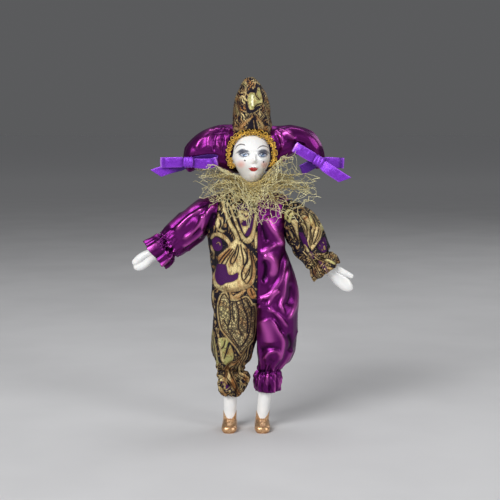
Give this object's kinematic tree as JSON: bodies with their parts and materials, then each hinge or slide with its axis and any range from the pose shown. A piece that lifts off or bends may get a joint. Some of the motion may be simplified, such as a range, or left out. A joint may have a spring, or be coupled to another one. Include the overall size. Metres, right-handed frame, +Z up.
{
  "type": "pierrot clown doll",
  "caption": "Standing porcelain clown doll in a stuffed brocade and satin jester suit, with a horned cap, ribbon bows and a gathered net collar.",
  "frame": {"origin": "on the floor under the middle of the whole doll's box, at the level of the shoe soles", "axes": "+Z up along the standing doll, -Y the way the face looks, +X to the doll's left hand"},
  "size_m": [0.2234, 0.0784, 0.356],
  "materials": {
    "porcelain": "white gloss glaze, painted face",
    "porcelain_shoe": "white gloss glaze, copper gold painted shoe",
    "brocade": "woven brocade, gold and olive on black and purple",
    "satin": "glossy purple satin",
    "ribbon": "violet satin ribbon",
    "braid": "gold looped braid",
    "net": "gold metallic thread net"
  },
  "bodies": {
    "root": {"head": "porcelain", "hat_crown": "brocade", "hat_horn_right": "satin", "hat_horn_left": "satin", "hat_trim": "braid", "bow_right": "ribbon", "bow_left": "ribbon", "ruff": "net", "suit_right": "brocade", "suit_left": "satin", "sleeve_right": "satin", "sleeve_left": "brocade", "hand_right": "porcelain", "hand_left": "porcelain", "leg_right": "porcelain_shoe", "leg_left": "porcelain_shoe"}
  },
  "joints": []
}
